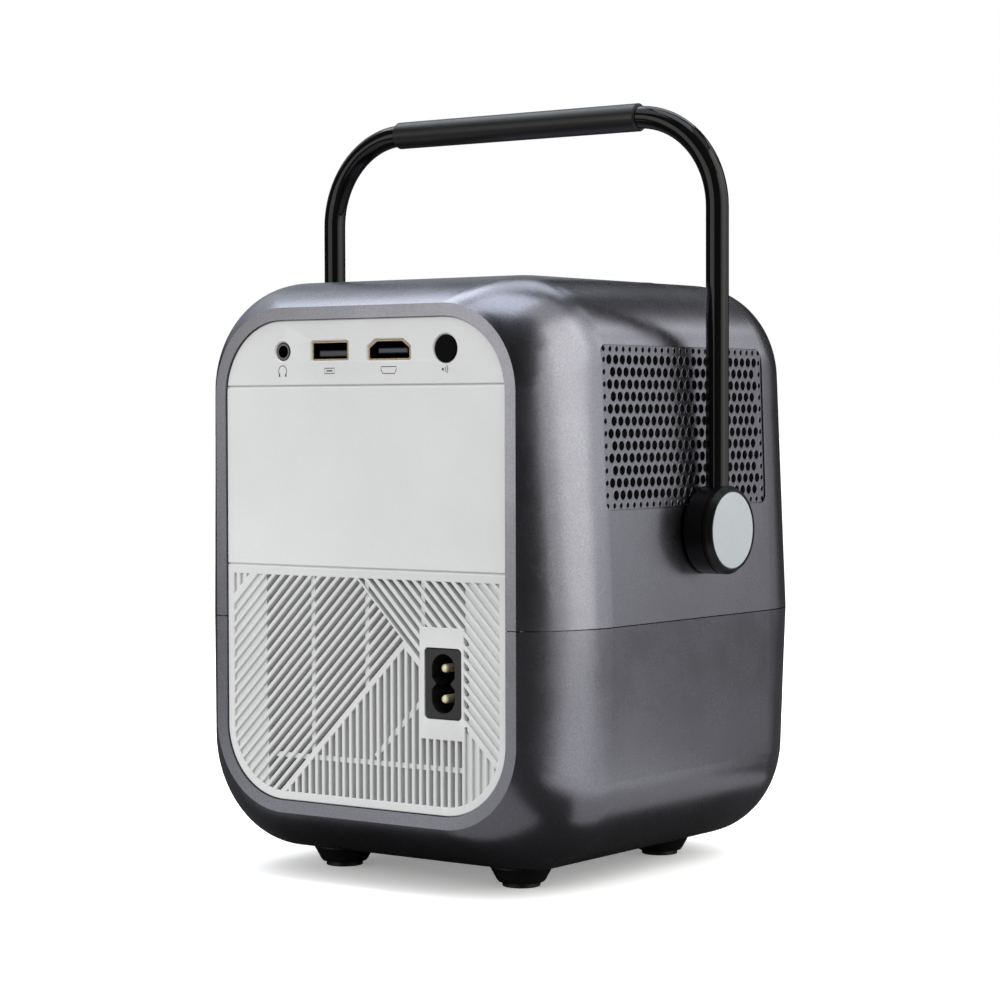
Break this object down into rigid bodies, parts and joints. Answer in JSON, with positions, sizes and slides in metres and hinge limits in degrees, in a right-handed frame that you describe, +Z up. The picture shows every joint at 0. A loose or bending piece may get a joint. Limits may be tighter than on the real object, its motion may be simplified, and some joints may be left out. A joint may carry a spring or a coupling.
{
  "type": "home projector",
  "caption": "Upright home projector with a rounded two-part casing, side vents, rear grille and sockets, and a tilting carrying handle.",
  "frame": {"origin": "on the floor under the middle of the body", "axes": "+Z up, lens looks along -Y, sockets and grille face +Y, X across the body along the handle's pivot"},
  "size_m": [0.1544, 0.1384, 0.2263],
  "materials": {
    "shell_metallic": "satin",
    "vent_paint": "satin",
    "panel_white": "satin",
    "filter_mesh": "matte",
    "inlet_grey": "matte",
    "nickel": "polished",
    "socket_brass": "polished",
    "tongue_blue_grey": "satin",
    "gloss_black": "gloss",
    "handle_black": "gloss",
    "grip_black": "matte",
    "hub_black": "satin",
    "disc_silver": "satin",
    "steel": "satin",
    "lens_black": "matte",
    "lens_glass": "clear",
    "engine_aluminium": "matte",
    "board_green": "satin",
    "fan_black": "satin",
    "foot_rubber": "matte",
    "key_grey": "satin",
    "brass": "satin",
    "speaker_cone": "matte"
  },
  "bodies": {
    "body": {"upper_shell": "shell_metallic", "lower_shell": "shell_metallic", "vent_left": "vent_paint", "vent_right": "vent_paint", "rear_port_panel": "panel_white", "rear_blank_panel": "panel_white", "rear_grille": "panel_white", "dust_filter": "filter_mesh", "mains_inlet": "inlet_grey", "mains_pins": "nickel", "usb_socket": "socket_brass", "usb_tongue": "tongue_blue_grey", "video_socket": "socket_brass", "video_tongue": "tongue_blue_grey", "audio_jack": "gloss_black", "ir_window": "gloss_black", "front_panel": "gloss_black", "lens_barrel": "lens_black", "lens_rear_glass": "lens_glass", "light_engine": "engine_aluminium", "lcd_panel": "board_green", "led_module": "board_green", "heat_sink": "engine_aluminium", "fan_frame": "fan_black", "main_board": "board_green", "power_board": "board_green", "speaker_left": "speaker_cone", "speaker_right": "speaker_cone", "chassis": "engine_aluminium", "pivot_pin_left": "steel", "pivot_pin_right": "steel", "pivot_screw_left": "steel", "pivot_screw_right": "steel", "foot_rear_left": "foot_rubber", "foot_rear_right": "foot_rubber", "foot_front_left": "foot_rubber", "foot_front_right": "foot_rubber", "foot_pads": "foot_rubber", "key_bezel": "key_grey", "key_board": "board_green", "bottom_screws": "steel", "stand_insert": "brass"},
    "handle": {"handle_bar": "handle_black", "handle_grip": "grip_black", "hub_left": "hub_black", "hub_right": "hub_black", "hub_disc_left": "disc_silver", "hub_disc_right": "disc_silver"},
    "focus_ring": {"focus_ring": "lens_black"},
    "focus_cell": {"lens_cell": "lens_black", "lens_front_glass": "lens_glass"},
    "fan_rotor": {"fan_rotor": "fan_black"},
    "key_menu": {"key_menu": "key_grey"},
    "key_back": {"key_back": "key_grey"},
    "power_button": {"power_button": "key_grey"},
    "key_minus": {"key_minus": "key_grey"},
    "key_plus": {"key_plus": "key_grey"}
  },
  "joints": [
    {"name": "handle_pivot", "type": "hinge", "parent": "body", "child": "handle", "pos_m": [0, -0.0064, 0.1014], "axis": [1, 0, 0], "range_deg": [-90, 90]},
    {"name": "focus_turn", "type": "hinge", "parent": "body", "child": "focus_ring", "pos_m": [0, -0.064, 0.118], "axis": [0, 1, 0], "range_deg": [-60, 60]},
    {"name": "focus_slide", "type": "slide", "parent": "body", "child": "focus_cell", "axis": [0, 1, 0], "range_m": [-0.0015, 0.0015]},
    {"name": "fan_spin", "type": "hinge", "parent": "body", "child": "fan_rotor", "pos_m": [0.014, 0.05, 0.054], "axis": [0, 1, 0], "continuous": true},
    {"name": "key_menu_press", "type": "slide", "parent": "body", "child": "key_menu", "axis": [0, 0, -1], "range_m": [0, 0.0006], "stiffness_N_per_m": 600, "springref_m": -0.0006},
    {"name": "key_back_press", "type": "slide", "parent": "body", "child": "key_back", "axis": [0, 0, -1], "range_m": [0, 0.0006], "stiffness_N_per_m": 600, "springref_m": -0.0006},
    {"name": "power_button_press", "type": "slide", "parent": "body", "child": "power_button", "axis": [0, 0, -1], "range_m": [0, 0.0006], "stiffness_N_per_m": 600, "springref_m": -0.0006},
    {"name": "key_minus_press", "type": "slide", "parent": "body", "child": "key_minus", "axis": [0, 0, -1], "range_m": [0, 0.0006], "stiffness_N_per_m": 600, "springref_m": -0.0006},
    {"name": "key_plus_press", "type": "slide", "parent": "body", "child": "key_plus", "axis": [0, 0, -1], "range_m": [0, 0.0006], "stiffness_N_per_m": 600, "springref_m": -0.0006}
  ],
  "couplings": [
    {"joint": "focus_slide", "follows": "focus_turn", "m_per_rad": 0.001432}
  ]
}
